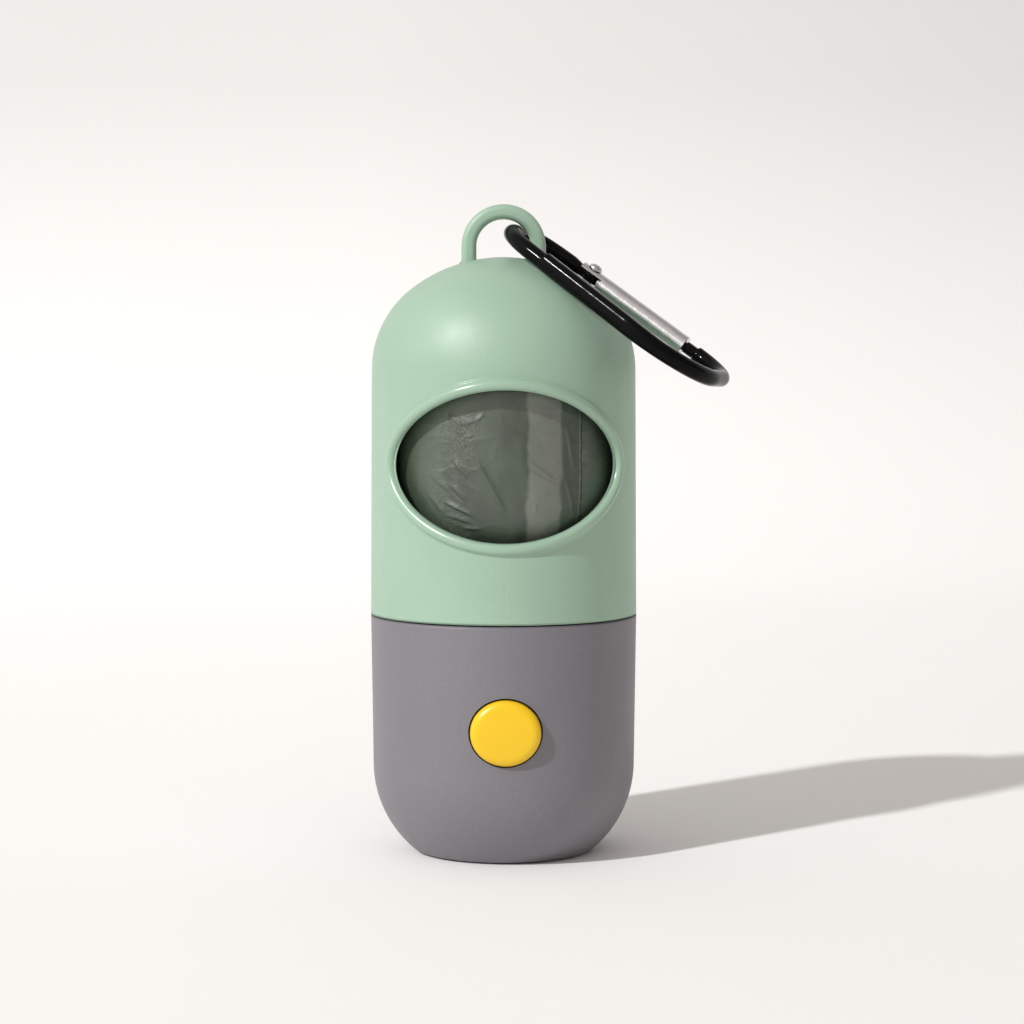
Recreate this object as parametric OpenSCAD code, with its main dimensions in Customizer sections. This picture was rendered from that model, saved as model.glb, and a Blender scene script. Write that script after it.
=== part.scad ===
// Waste-bag dispenser in two screwed halves, with a torch in its base and a carabiner on its loop.
// Millimetres, +Z up, origin on the floor at the centre of the base, window and button facing -Y.

/* [Body] */
// Outside diameter at the seam between the two halves
body_d = 46; // [45:0.5:49]
// Height of the seam above the floor
seam_z = 41.2; // [39.5:0.1:43]
// Open gap between the two rims at the seam
seam_gap = 0.25; // [0.15:0.05:0.4]
// Thickness of both casings
wall_t = 1.8; // [1.6:0.1:2]
// Radius lost between the seam and the start of the dome
upper_draft = 0.25; // [0.1:0.05:0.4]
// Radius lost between the seam and the start of the rounded base
lower_draft = 0.35; // [0.3:0.05:0.6]
// Height of the dome over its start
dome_h = 19.4; // [19:0.1:20]
// Radius of the dome's shoulder
dome_shoulder_r = 17.7; // [17:0.1:18]
// Height at which the rounded base starts
hip_z = 15.25; // [15:0.25:17]
// Radius of the rounded base
base_curve_r = 19.3; // [19:0.1:20]

/* [Window] */
// Height of the window's centre
window_z = 67.5; // [66:0.5:69]
// Width of the window
window_w = 36.7; // [34:0.5:37.5]
// Height of the window
window_h = 25.5; // [22:0.5:26]
// Width of the raised bead round the window
bead_w = 1.9; // [1.4:0.1:2]

/* [Loop] */
// Width of the loop over its outside
loop_w = 14.5; // [14:0.1:15.5]
// Width of the loop's band, seen from the front
loop_band = 2.55; // [2.3:0.05:2.7]
// Depth of the loop from front to back
loop_depth = 3.4; // [3:0.1:4]
// Rounding of the loop's edges
loop_round = 1.0; // [0.6:0.1:1.1]
// Height of the loop's arch centre over the top of the dome
loop_rise = 1.8; // [1.6:0.1:2.4]
// Radius of the fillet at the loop's feet
loop_fillet = 1.2; // [0.8:0.1:1.5]

/* [Screw closure] */
// Lift of the upper half in one full turn
thread_lead = 8; // [7:0.5:9]
// Number of thread starts
thread_starts = 2; // [1:1:2]
// Height of a ridge from its wall
thread_depth = 0.9; // [0.7:0.05:1]
// Axial width of a ridge at its root
thread_root = 1.7; // [1.4:0.1:1.9]
// Axial width of a ridge at its crest
thread_crest = 0.9; // [0.6:0.1:1]
// Angle that each ridge runs round
thread_sweep = 150; // [120:10:160]
// Radial gap between a ridge and the wall that it faces
thread_gap = 0.25; // [0.2:0.05:0.3]
// Height of the neck over the seam
neck_h = 8.9; // [8.7:0.1:9.2]
// Thickness of the neck
neck_t = 1.6; // [1.4:0.1:1.8]
// Thickness of the sealing ring
seal_d = 1.3; // [1.2:0.05:1.4]

/* [Bag roll] */
// Gap between a tight full roll and the neck's bore
roll_side_gap = 1.45; // [1.2:0.05:3]
// Gap between the roll's loose outer turn and the casing
loose_gap = 0.45; // [0.4:0.05:3]
// Length of the roll
roll_h = 58; // [54:0.5:58.5]
// Outside diameter of the core tube
core_d = 16; // [15.5:0.1:17]
// Wall of the core tube
core_t = 1; // [0.8:0.1:1.2]

/* [Button] */
// Width of the button
button_w = 11.8; // [10:0.1:12]
// Height of the button from its lower to its upper edge
button_h = 11; // [10:0.1:12]
// Height of the button's centre
button_z = 23.4; // [23:0.1:24.2]
// How far the button stands proud of the casing
button_proud = 1.5; // [1.3:0.1:1.8]
// Travel of the button
button_travel = 1.0; // [0.8:0.1:1.1]
// Gap round the button
button_gap = 0.3; // [0.25:0.05:0.4]

/* [Torch] */
// Diameter of the lens
lens_d = 22.4; // [21:0.2:22.8]
// Thickness of the lens
lens_t = 1.5; // [1.2:0.1:1.6]
// Diameter of the lamp's bulb
led_d = 5; // [4.8:0.1:5]
// Diameter of a button cell
cell_d = 11.6; // [11.4:0.1:11.8]
// Thickness of a button cell
cell_t = 5.4; // [5.2:0.1:5.5]

/* [Carabiner] */
// Thickness of the carabiner's bar
bar_d = 2.9; // [2.8:0.05:3]
// Length of the carabiner over its outside
clip_l = 46.4; // [45.5:0.1:47.5]
// Width of the carabiner over its outside
clip_w = 28.1; // [27.5:0.1:28.5]
// Bend radius of the bar at the hinge end, on the gate side
hinge_bend_r = 6.5; // [6:0.1:7]
// Bend radius of the bar at the hinge end, on the spine side
spine_hinge_r = 9; // [8:0.5:9.5]
// Bend radius of the bar at the mouth end, on the spine side
spine_bend_r = 12; // [11:0.5:13]
// Bend radius of the bar at the mouth end, on the gate side
gate_bend_r = 7.8; // [7.4:0.1:7.9]
// Slope of the spine to the gate
spine_slope = 12.1; // [11:0.1:13]
// Diameter of the gate
gate_d = 3.4; // [3.3:0.05:3.6]
// Diameter of the rivet at the gate's hinge
rivet_d = 1.6; // [1.4:0.1:1.8]
// Thickness of the flats at the gate's two ends
flat_t = 1.5; // [1.3:0.1:1.6]

/* [Hidden] */

// Roundness of large, middle and small curves
fine = 128;
round = 64;
small = 32;
// Overlap that joins two solids of one piece
bite = 0.3;
// Gap between two pieces that are fixed together
seat_gap = 0.05;
// Radial clearance of a running fit
run_gap = 0.08;

// Heights of the deck, of the roll that stands on it, and of the dome over the roll
deck_drop = 9.7;
deck_z = seam_z - deck_drop;
cover_t = 2;
cover_z = deck_z + cover_t;
roll_gap = 0.15;
roll_z = cover_z + roll_gap;
roll_in_dome = 8.35;
dome_z = roll_z + roll_h - roll_in_dome;

// Casing radii and the two arcs of the dome
seam_r = body_d / 2;
shoulder_r = seam_r - upper_draft;
hip_r = seam_r - lower_draft;
shoulder_x = shoulder_r - dome_shoulder_r;
crown_r = (shoulder_x * shoulder_x + dome_h * dome_h - dome_shoulder_r * dome_shoulder_r)
    / (2 * (dome_h - dome_shoulder_r));
crown_z = dome_z + dome_h - crown_r;
top_z = dome_z + dome_h;
upper_rim_z = seam_z + seam_gap / 2;
lower_rim_z = seam_z - seam_gap / 2;

// Rounded base, its foot and the floor inside it
base_curve_x = hip_r - base_curve_r;
foot_z = 0.35;
floor_z = 2.4;

// Screw closure
skirt_r = seam_r - wall_t;
neck_r = skirt_r - thread_depth - thread_gap;
neck_bore_r = neck_r - neck_t;
neck_top_z = seam_z + neck_h;
seal_z = seam_z + 0.95;
seal_gap = 0.05;
seal_r = skirt_r - seal_gap - seal_d / 2 - 0.02;
thread_z = neck_top_z - 0.4 - thread_root / 2 - thread_lead * thread_sweep / 360;
// Drop from a ridge of the neck to the ridge of the casing that hooks under it
thread_drop = thread_crest + 0.32;
thread_steps = 20;

// Chassis deck, roll platform and battery trough
deck_t = 2.4;
cover_r = neck_bore_r - 0.25;
chassis_low_z = deck_z - deck_t;
chassis_r = inner_r(chassis_low_z) - 0.1;
roll_r = neck_bore_r - roll_side_gap;
loose_mid_z = window_z + 2.5;
loose_half = 18.5;
loose_r = upper_r(window_z) - wall_t - loose_gap;
boss_r = core_d / 2 - core_t - run_gap;
boss_h = 6;
trough_t = 1.2;
trough_y = 3.5;
contact_t = 0.4;
contact_half = 4.5;
cell_count = 3;
spring_l = 2.4;
cells_x0 = -cell_count * cell_t / 2 + 0.5;
cells_x1 = cells_x0 + cell_count * cell_t;
trough_x0 = cells_x0 - spring_l - contact_t - seat_gap;
trough_x1 = cells_x1 + contact_t + seat_gap;
trough_floor_z = deck_z - 14.8;
trough_half = cell_d / 2 + 0.15;
cell_z = trough_floor_z + cell_d / 2 + seat_gap;
cover_rib_z = cell_z + cell_d / 2 + 0.2;

// Screws
screw_r = 0.8;
pilot_r = screw_r + seat_gap;
screw_hole_r = 1.15;
head_r = 1.9;
head_h = 1.1;
head_sink = 1.3;
column_r = 2.4;
column_ring_r = neck_bore_r - 2.25;
column_angles = [90, 212, 328];
cover_boss_r = 2.3;
cover_boss_x = cover_r - 3.8;
cover_boss_low = 5.6;

// Board and switch
board_t = 1.6;
board_half = cover_r * 0.58;
board_y = -11;
board_z0 = 12.6;
board_z1 = deck_z - deck_t - 0.4;
board_post_x = 7;
board_post_z = 26;
board_post_r = 1.9;
board_head_r = 1.5;
board_head_h = 0.9;
switch_w = 6;
switch_t = 3.5;
plunger_r = 1.7;
switch_front_y = board_y - board_t - switch_t;
plunger_y0 = switch_front_y - 1.4;
plunger_y1 = switch_front_y + 1.9;

// Button
button_r = button_w / 2;
button_squash = button_h / button_w;
hole_squash = (button_h / 2 + button_gap) / (button_r + button_gap);
button_skin_y = -casing_r(button_z);
button_face_y = button_skin_y - button_proud;
button_round = 0.8;
button_crown_r = 45;
flange_r = button_r + 1.5;
flange_t = 1;
flange_half = 2.4;
flange_y = -sqrt(pow(inner_r(button_z - flange_half), 2) - flange_r * flange_r) + 0.3;
relief_y = flange_y + bite + button_travel + 0.2;

// Torch
lens_r = lens_d / 2;
lens_z = 0.8;
ring_bore_r = lens_r + 0.1;
ring_lip_r = lens_r - 0.6;
ring_collar_r = ring_bore_r + 1.2;
ring_flange_r = ring_collar_r + 1.6;
ring_flange_z = foot_z + 0.8;
base_hole_r = ring_collar_r + 0.1;
reflector_t = 0.8;
reflector_z = floor_z;
reflector_mouth_r = lens_r - 0.5;
reflector_flange_r = base_hole_r + 1;
reflector_top_z = 10.6;
led_r = led_d / 2;
throat_r = led_r + 0.15;
led_tip_z = 7.2;
led_foot_z = 12;
led_foot_t = 1;
led_foot_r = led_r + 0.4;
lead_r = 0.25;
lead_x = 1.27;
lead_z = led_foot_z + led_foot_t + 1.2;

// Loop
arch_r = loop_w / 2 - loop_band / 2;
arch_z = top_z + loop_rise;
// Straight lengths are a hair larger than the bends that they join, so that the bends end inside them
join_grow = 0.02;
leg_low_z = crown_z + sqrt(pow(crown_r - wall_t, 2) - pow(arch_r - loop_band / 2, 2)) + 0.25;

// Carabiner, in its own frame: X along it from the bar in the loop, Y across it, Z square to it
bar_r = bar_d / 2;
clip_len = clip_l - bar_d;
clip_half = (clip_w - bar_d) / 2;
mouth_y = spine_bend_r - clip_half;
hinge_y = mouth_y - (spine_bend_r - spine_hinge_r
    - sin(spine_slope) * (clip_len - spine_hinge_r - spine_bend_r)) / cos(spine_slope);
spine_x = spine_hinge_r * (1 - sin(spine_slope));
spine_len = (clip_len - spine_bend_r * (1 + sin(spine_slope)) - spine_x) / cos(spine_slope);
// Where it hangs: the loop crosses its hinge end, and its slope follows the dome's shoulder
clip_hold_y = 0.12;
clip_x = 1.637;
clip_z = arch_z + 2.508;
clip_slope = 33.93;
clip_roll = 9.27;
clip_yaw = -16.64;
gate_r = gate_d / 2;
rivet_x = hinge_bend_r + 6;
gate_x0 = rivet_x - 2.1;
gate_x1 = clip_len - 10;
tang_half = 1.15;
tang_r = 1.6;
tang_x0 = rivet_x - 2.8;
crimp_l = 1.5;
crimp_r = 1.3;
slot_x1 = rivet_x + 2.4;
slot_t = flat_t + 0.3;
nose_x0 = gate_x1 - 2.2;
nose_step_x = gate_x1 + 0.4;
nose_half = 1.1;
hook_half = 1.45;
plunger_tip_x = rivet_x + tang_r + 0.1;
gate_plunger_l = 3;
gate_bore_r = 1.0;
gate_bore_x1 = gate_x1 - 7.6;

// Radius of the casing at a height between the rounded base and the seam
function casing_r(z) = hip_r + (seam_r - hip_r) * (z - hip_z) / (seam_z - hip_z);
function inner_r(z) = casing_r(z) - wall_t;

// Radius of the casing at a height between the seam and the dome
function upper_r(z) = seam_r + (shoulder_r - seam_r) * (z - upper_rim_z) / (dome_z - upper_rim_z);

// Outline of the upper half from axis to skin, moved in by inset
module upper_outline(inset) {
    crown_end = (crown_r - inset) * shoulder_x / (crown_r - dome_shoulder_r);
    polygon([[0, upper_rim_z], [seam_r - inset, upper_rim_z], [shoulder_r - inset, dome_z], [0, dome_z]]);
    intersection() {
        translate([shoulder_x, dome_z]) circle(r = dome_shoulder_r - inset, $fn = fine);
        translate([0, dome_z]) square([seam_r, dome_h]);
    }
    intersection() {
        translate([0, crown_z]) circle(r = crown_r - inset, $fn = fine);
        translate([0, dome_z]) square([crown_end, dome_h]);
    }
}

// Outline of the lower half from axis to skin, moved in by inset and cut off at low
module lower_outline(inset, low) {
    polygon([[0, hip_z], [hip_r - inset, hip_z], [seam_r - inset, lower_rim_z], [0, lower_rim_z]]);
    intersection() {
        translate([base_curve_x, hip_z]) circle(r = base_curve_r - inset, $fn = fine);
        translate([0, low]) square([seam_r, hip_z - low]);
    }
}

// Ellipse of the window, grown by grow and cut straight through the front wall
module window_prism(grow) {
    translate([0, 0, window_z]) rotate([90, 0, 0])
        scale([1, (window_h / 2 + grow) / (window_w / 2 + grow), 1])
            cylinder(r = window_w / 2 + grow, h = seam_r * 2, $fn = round);
}

// Points of a ring of circles that follows the window's edge over the curved wall
function bead_ring(a, b, wall, r, steps, sides) = [
    for (i = [0 : steps - 1])
        let (t = 360 * i / steps, x = a * cos(t), y = -sqrt(wall * wall - x * x),
            along = [-a * sin(t), a * cos(t) * a * sin(t) / y, b * cos(t)],
            out = [x / wall, y / wall, 0],
            side = cross(along / norm(along), out))
        for (j = [0 : sides - 1])
            [x, y, window_z + b * sin(t)]
                + r * (cos(360 * j / sides) * out + sin(360 * j / sides) * side / norm(side))
];

// Raised bead round the window
module window_bead() {
    steps = 72;
    sides = 12;
    mid_wall = shoulder_r + (seam_r - shoulder_r) * (dome_z - window_z) / (dome_z - seam_z);
    polyhedron(
        points = bead_ring(window_w / 2 + bead_w / 2 - 0.1, window_h / 2 + bead_w / 2 - 0.1,
            mid_wall, bead_w / 2, steps, sides),
        faces = [for (i = [0 : steps - 1], j = [0 : sides - 1])
            let (n = (i + 1) % steps, k = (j + 1) % sides)
            [n * sides + j, n * sides + k, i * sides + k, i * sides + j]],
        convexity = 6);
}

// One helical ridge: root and crest radii, start height and start angle
module thread_ridge(root_r, crest_r, z, start) {
    section = [[root_r, -thread_root / 2], [crest_r, -thread_crest / 2],
        [crest_r, thread_crest / 2], [root_r, thread_root / 2]];
    points = [for (i = [0 : thread_steps], q = section)
        let (t = thread_sweep * i / thread_steps)
        [q[0] * cos(start + t), q[0] * sin(start + t), z + thread_lead * t / 360 + q[1]]];
    last = thread_steps * 4;
    sides = [for (i = [0 : thread_steps - 1], j = [0 : 3])
        let (k = (j + 1) % 4) [i * 4 + j, i * 4 + k, i * 4 + 4 + k, i * 4 + 4 + j]];
    faces = concat([[3, 2, 1, 0]], sides, [[last, last + 1, last + 2, last + 3]]);
    flipped = [for (f = faces) [for (i = [3 : -1 : 0]) f[i]]];
    polyhedron(points = points, faces = crest_r > root_r ? faces : flipped, convexity = 4);
}

// Rounded section of the loop's band, centred on its middle line and grown all round
module loop_section(grow) {
    w = loop_band / 2 - loop_round;
    d = loop_depth / 2 - loop_round;
    square([loop_band + 2 * grow, 2 * d], center = true);
    square([2 * w, loop_depth + 2 * grow], center = true);
    for (x = [-w, w], y = [-d, d]) translate([x, y]) circle(r = loop_round + grow, $fn = small);
}

// Concave fillet at the foot of a leg, on its outer side
module foot_fillet() {
    depth = loop_depth - 2 * loop_round;
    foot_x = arch_r + loop_band / 2;
    foot_top = crown_z + sqrt(pow(crown_r, 2) - pow(foot_x + loop_fillet, 2)) + loop_fillet;
    translate([foot_x - bite, depth / 2, foot_top]) rotate([90, 0, 0]) linear_extrude(depth)
        difference() {
            translate([0, -loop_fillet - 1]) square([loop_fillet + bite, loop_fillet + 1]);
            translate([loop_fillet + bite, 0]) circle(r = loop_fillet, $fn = small);
        }
}

module carry_loop() {
    translate([0, 0, arch_z]) rotate([90, 0, 0])
        rotate_extrude(angle = 180, $fn = round) translate([arch_r, 0]) loop_section(0);
    for (side = [-1, 1]) {
        translate([side * arch_r, 0, leg_low_z]) linear_extrude(arch_z + bite - leg_low_z)
            loop_section(join_grow);
    }
    foot_fillet();
    mirror([1, 0, 0]) foot_fillet();
}

module upper_shell() {
    color([0.62, 0.75, 0.65]) {
        difference() {
            union() {
                difference() {
                    rotate_extrude($fn = fine) upper_outline(0);
                    rotate_extrude($fn = fine) upper_outline(wall_t);
                    translate([0, 0, upper_rim_z - 1]) cylinder(r = skirt_r, h = 1 + bite, $fn = fine);
                }
                window_bead();
                carry_loop();
            }
            window_prism(0);
        }
        for (i = [0 : thread_starts - 1]) {
            thread_ridge(skirt_r + bite, skirt_r - thread_depth, thread_z - thread_drop,
                i * 360 / thread_starts);
        }
    }
}

module neck_seal() {
    color([0.12, 0.12, 0.12]) translate([0, 0, seal_z])
        rotate_extrude($fn = fine) translate([seal_r, 0]) circle(r = seal_d / 2, $fn = small);
}

// Places a piece drawn in the carabiner's own frame
module on_clip() {
    translate([clip_x, 0, clip_z]) rotate([clip_roll, clip_slope, 0]) rotate([0, 0, clip_yaw])
        translate([0, -clip_hold_y, 0]) children();
}

// Bend of the bar round a centre, from start angle on
module bar_bend(x, y, r, start, sweep) {
    translate([x, y, 0]) rotate([0, 0, start])
        rotate_extrude(angle = sweep, $fn = round) translate([r, 0]) circle(r = bar_r, $fn = small);
}

// Straight length of bar from one point towards an angle, run a little way into its neighbours
module bar_run(x, y, angle, l) {
    translate([x, y, 0]) rotate([0, 90, angle]) translate([0, 0, -bite])
        cylinder(r = bar_r + join_grow, h = l + 2 * bite, $fn = small);
}

// Flat end of the bar inside the gate: bar trimmed to the flat's thickness and height
module bar_flat(x0, x1, inner, outer) {
    translate([x0, clip_half - inner, -flat_t / 2]) cube([x1 - x0, inner + outer, flat_t]);
}

module carabiner_frame() {
    color([0.05, 0.05, 0.05]) on_clip() difference() {
        union() {
            bar_run(hinge_bend_r, clip_half, 0, tang_x0 - crimp_l - hinge_bend_r);
            translate([tang_x0 - crimp_l, clip_half, 0]) rotate([0, 90, 0])
                cylinder(r1 = bar_r, r2 = crimp_r, h = crimp_l, $fn = small);
            bar_bend(hinge_bend_r, clip_half - hinge_bend_r, hinge_bend_r, 90, 90);
            bar_run(0, hinge_y, 90, clip_half - hinge_bend_r - hinge_y);
            bar_bend(spine_hinge_r, hinge_y, spine_hinge_r, 180, 90 - spine_slope);
            bar_run(spine_x, hinge_y - spine_hinge_r * cos(spine_slope), -spine_slope, spine_len);
            bar_bend(clip_len - spine_bend_r, mouth_y, spine_bend_r, 270 - spine_slope, 90 + spine_slope);
            bar_run(clip_len, mouth_y, 90, clip_half - gate_bend_r - mouth_y);
            bar_bend(clip_len - gate_bend_r, clip_half - gate_bend_r, gate_bend_r, 0, 90);
            bar_run(nose_step_x + bite, clip_half, 0, clip_len - gate_bend_r - nose_step_x - bite);
            bar_flat(tang_x0 - bite, rivet_x, tang_half, tang_half);
            translate([rivet_x, clip_half, -flat_t / 2]) cylinder(r = tang_r, h = flat_t, $fn = small);
            bar_flat(nose_x0 + 0.9, nose_step_x + 2 * bite, nose_half, nose_half);
            bar_flat(nose_x0, nose_x0 + 1, nose_half, hook_half);
        }
        translate([rivet_x, clip_half, -flat_t]) cylinder(r = rivet_d / 2 + seat_gap, h = 2 * flat_t,
            $fn = small);
    }
}

// Rivet with a domed head on the outer side, peened flush on the side of the casing
module gate_rivet() {
    color([0.75, 0.75, 0.76]) on_clip() translate([rivet_x, clip_half, 0]) {
        translate([0, 0, -gate_r + 0.15]) cylinder(r = rivet_d / 2, h = gate_d, $fn = small);
        translate([0, 0, gate_r + seat_gap]) difference() {
            scale([1, 1, 0.62]) sphere(r = 1.25, $fn = small);
            translate([0, 0, -2]) cube(4, center = true);
        }
    }
}

module carabiner_gate() {
    color([0.78, 0.78, 0.8]) on_clip() difference() {
        translate([gate_x0, clip_half, 0]) rotate([0, 90, 0])
            cylinder(r = gate_r, h = gate_x1 - gate_x0, $fn = small);
        translate([gate_x0 - 1, clip_half - gate_r - 1, -slot_t / 2])
            cube([slot_x1 - gate_x0 + 1, gate_d + 2, slot_t]);
        translate([nose_x0 - 0.6, clip_half - nose_half - 0.12, -slot_t / 2])
            cube([gate_x1 - nose_x0 + 2, gate_d + 2, slot_t]);
        translate([rivet_x, clip_half, -gate_d]) cylinder(r = rivet_d / 2 + run_gap, h = 2 * gate_d,
            $fn = small);
        translate([plunger_tip_x - 0.2, clip_half, 0]) rotate([0, 90, 0])
            cylinder(r = gate_bore_r, h = gate_bore_x1 - plunger_tip_x + 0.2, $fn = small);
    }
}

module gate_plunger() {
    color([0.7, 0.7, 0.72]) on_clip() translate([plunger_tip_x, clip_half, 0]) rotate([0, 90, 0])
        cylinder(r = gate_bore_r - run_gap, h = gate_plunger_l, $fn = small);
}

// Round wire wound into a coil along +Z: radii at its two ends, length and number of turns
module wire_coil(r0, r1, l, turns, wire_r) {
    sides = 6;
    steps = ceil(turns * 14);
    points = [for (i = [0 : steps], j = [0 : sides - 1])
        let (f = i / steps, t = 360 * turns * f, q = 360 * j / sides,
            r = r0 + (r1 - r0) * f + wire_r * cos(q))
        [r * cos(t), r * sin(t), wire_r + (l - 2 * wire_r) * f + wire_r * sin(q)]];
    last = steps * sides;
    faces = concat(
        [[for (j = [sides - 1 : -1 : 0]) j]],
        [for (i = [0 : steps - 1], j = [0 : sides - 1])
            let (k = (j + 1) % sides)
            [i * sides + k, i * sides + sides + k, i * sides + sides + j, i * sides + j]],
        [[for (j = [0 : sides - 1]) last + j]]);
    polyhedron(points = points, faces = faces, convexity = 10);
}

module gate_spring() {
    wire_r = 0.12;
    coil_r = gate_bore_r - wire_r - run_gap;
    x0 = plunger_tip_x + gate_plunger_l + seat_gap;
    color([0.8, 0.8, 0.8]) on_clip() translate([x0, clip_half, 0]) rotate([0, 90, 0])
        wire_coil(coil_r, coil_r, gate_bore_x1 - seat_gap - x0, 9, wire_r);
}

module roll_core() {
    color([0.72, 0.6, 0.42]) translate([0, 0, roll_z]) difference() {
        cylinder(r = core_d / 2, h = roll_h, $fn = round);
        translate([0, 0, -1]) cylinder(r = core_d / 2 - core_t, h = roll_h + 2, $fn = round);
    }
}

// Tight roll with a loose outer turn that bulges towards the window
module bag_roll() {
    edge = 0.8;
    steps = 16;
    bulge = [for (i = [0 : steps])
        let (t = 2 * i / steps - 1)
        [roll_r + (loose_r - roll_r) * (1 - pow(t, 4)), loose_mid_z + t * loose_half]];
    color([0.3, 0.4, 0.3]) difference() {
        rotate_extrude($fn = fine) {
            translate([0, roll_z + edge]) square([roll_r, roll_h - 2 * edge]);
            translate([0, roll_z]) square([roll_r - edge, roll_h]);
            for (z = [roll_z + edge, roll_z + roll_h - edge])
                translate([roll_r - edge, z]) circle(r = edge, $fn = small);
            polygon(concat([[0, loose_mid_z - loose_half]], bulge, [[0, loose_mid_z + loose_half]]));
        }
        translate([0, 0, roll_z - 1]) cylinder(r = core_d / 2 + seat_gap, h = roll_h + 2, $fn = round);
    }
}

module lower_shell() {
    color([0.46, 0.44, 0.47]) difference() {
        union() {
            difference() {
                rotate_extrude($fn = fine) lower_outline(0, foot_z);
                rotate_extrude($fn = fine) lower_outline(wall_t, floor_z);
                translate([0, 0, lower_rim_z - bite]) cylinder(r = skirt_r, h = 1 + bite, $fn = fine);
            }
            intersection() {
                rotate_extrude($fn = fine) lower_outline(wall_t / 2, floor_z - 0.5);
                for (a = column_angles) {
                    rotate([0, 0, a]) translate([column_ring_r, 0, floor_z - 0.5])
                        cylinder(r = column_r, h = chassis_low_z - seat_gap - floor_z + 0.5, $fn = small);
                }
            }
        }
        for (a = column_angles) {
            rotate([0, 0, a]) translate([column_ring_r, 0, deck_z - deck_t - 8])
                cylinder(r = pilot_r, h = 9, $fn = small);
        }
        translate([0, 0, foot_z - 1]) cylinder(r = base_hole_r, h = 6, $fn = round);
        translate([0, 0, foot_z - 1]) cylinder(r = ring_flange_r + 0.1, h = 1.8, $fn = round);
        translate([0, 0, button_z]) rotate([90, 0, 0]) scale([1, hole_squash, 1])
            cylinder(r = button_r + button_gap, h = seam_r + 5, $fn = round);
    }
}

module chassis() {
    color([0.2, 0.2, 0.22]) {
        difference() {
            union() {
                translate([0, 0, chassis_low_z])
                    cylinder(r = chassis_r, h = lower_rim_z - 0.2 - chassis_low_z, $fn = fine);
                translate([0, 0, chassis_low_z])
                    cylinder(r = neck_r, h = neck_top_z - chassis_low_z, $fn = fine);
            }
            translate([0, 0, deck_z]) cylinder(r = neck_bore_r, h = neck_top_z, $fn = fine);
            translate([0, relief_y, button_z]) rotate([90, 0, 0])
                cylinder(r = button_r + 0.5, h = seam_r, $fn = round);
            translate([0, 0, seal_z]) rotate_extrude($fn = fine) translate([seal_r, 0])
                circle(r = seal_d / 2 + seal_gap, $fn = small);
            translate([trough_x0, trough_y - trough_half, trough_floor_z])
                cube([trough_x1 - trough_x0, 2 * trough_half, deck_z]);
            for (a = column_angles) {
                rotate([0, 0, a]) translate([column_ring_r, 0, 0]) {
                    translate([0, 0, deck_z - deck_t - 1]) cylinder(r = screw_hole_r, h = 9, $fn = small);
                    translate([0, 0, deck_z - head_sink]) cylinder(r = head_r + 0.2, h = 5, $fn = small);
                }
            }
            for (side = [-1, 1]) {
                translate([side * cover_boss_x, trough_y, deck_z - deck_t - 1])
                    cylinder(r = pilot_r, h = 9, $fn = small);
            }
        }
        difference() {
            translate([trough_x0 - trough_t, trough_y - trough_half - trough_t, trough_floor_z - trough_t])
                cube([trough_x1 - trough_x0 + 2 * trough_t, 2 * (trough_half + trough_t),
                    deck_z - deck_t - trough_floor_z + trough_t + bite]);
            translate([trough_x0, trough_y - trough_half, trough_floor_z])
                cube([trough_x1 - trough_x0, 2 * trough_half, deck_z]);
            for (x = [trough_x0 - bite, trough_x1 - contact_t - bite]) {
                translate([x, trough_y - trough_half - trough_t - 1, cell_z - 1.2])
                    cube([contact_t + 2 * bite, trough_t + 2, 2.4]);
            }
        }
        for (side = [-1, 1]) {
            translate([side * cover_boss_x, trough_y, deck_z - deck_t - cover_boss_low]) difference() {
                cylinder(r = cover_boss_r, h = cover_boss_low + bite, $fn = small);
                translate([0, 0, 1]) cylinder(r = pilot_r, h = cover_boss_low + 2, $fn = small);
            }
            translate([side * board_post_x, board_y, board_post_z]) rotate([-90, 0, 0]) difference() {
                cylinder(r = board_post_r, $fn = small,
                    h = trough_y - trough_half - trough_t + bite - board_y);
                translate([0, 0, -1]) cylinder(r = pilot_r, h = 6, $fn = small);
            }
        }
        for (i = [0 : thread_starts - 1]) {
            thread_ridge(neck_r - bite, neck_r + thread_depth, thread_z, i * 360 / thread_starts);
        }
    }
}

module battery_cover() {
    rib_x = 5.4;
    color([0.24, 0.24, 0.26]) difference() {
        union() {
            translate([0, 0, deck_z + seat_gap])
                cylinder(r = cover_r, h = cover_t - seat_gap, $fn = fine);
            translate([0, 0, cover_z - bite]) cylinder(r = boss_r, h = boss_h + bite, $fn = round);
            for (x = [-rib_x, 0, rib_x]) {
                translate([x - 0.6, trough_y - 4, cover_rib_z])
                    cube([1.2, 8, deck_z - cover_rib_z + 2 * bite]);
            }
        }
        translate([0, 0, cover_z + 1]) cylinder(r = boss_r - 1.6, h = boss_h, $fn = round);
        for (side = [-1, 1]) {
            translate([side * cover_boss_x, trough_y, deck_z - 1])
                cylinder(r = screw_hole_r, h = 9, $fn = small);
            translate([side * cover_boss_x, trough_y, cover_z - head_sink])
                cylinder(r = head_r + 0.2, h = 9, $fn = small);
        }
    }
}

// Pan-head screw pointing down, with its head's underside at the origin
module screw(shank_l, r_head, h_head) {
    difference() {
        union() {
            cylinder(r = r_head, h = h_head, $fn = small);
            translate([0, 0, -shank_l]) cylinder(r = screw_r, h = shank_l + bite, $fn = small);
        }
        for (a = [0, 90]) rotate([0, 0, a])
            translate([-r_head * 0.6, -0.2, h_head - 0.5]) cube([r_head * 1.2, 0.4, 2]);
    }
}

module cover_screws() {
    color([0.7, 0.7, 0.7]) for (side = [-1, 1]) {
        translate([side * cover_boss_x, trough_y, cover_z - head_sink]) screw(7, head_r, head_h);
    }
}

module chassis_screws() {
    color([0.7, 0.7, 0.7]) for (a = column_angles) {
        rotate([0, 0, a]) translate([column_ring_r, 0, deck_z - head_sink]) screw(7, head_r, head_h);
    }
}

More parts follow.
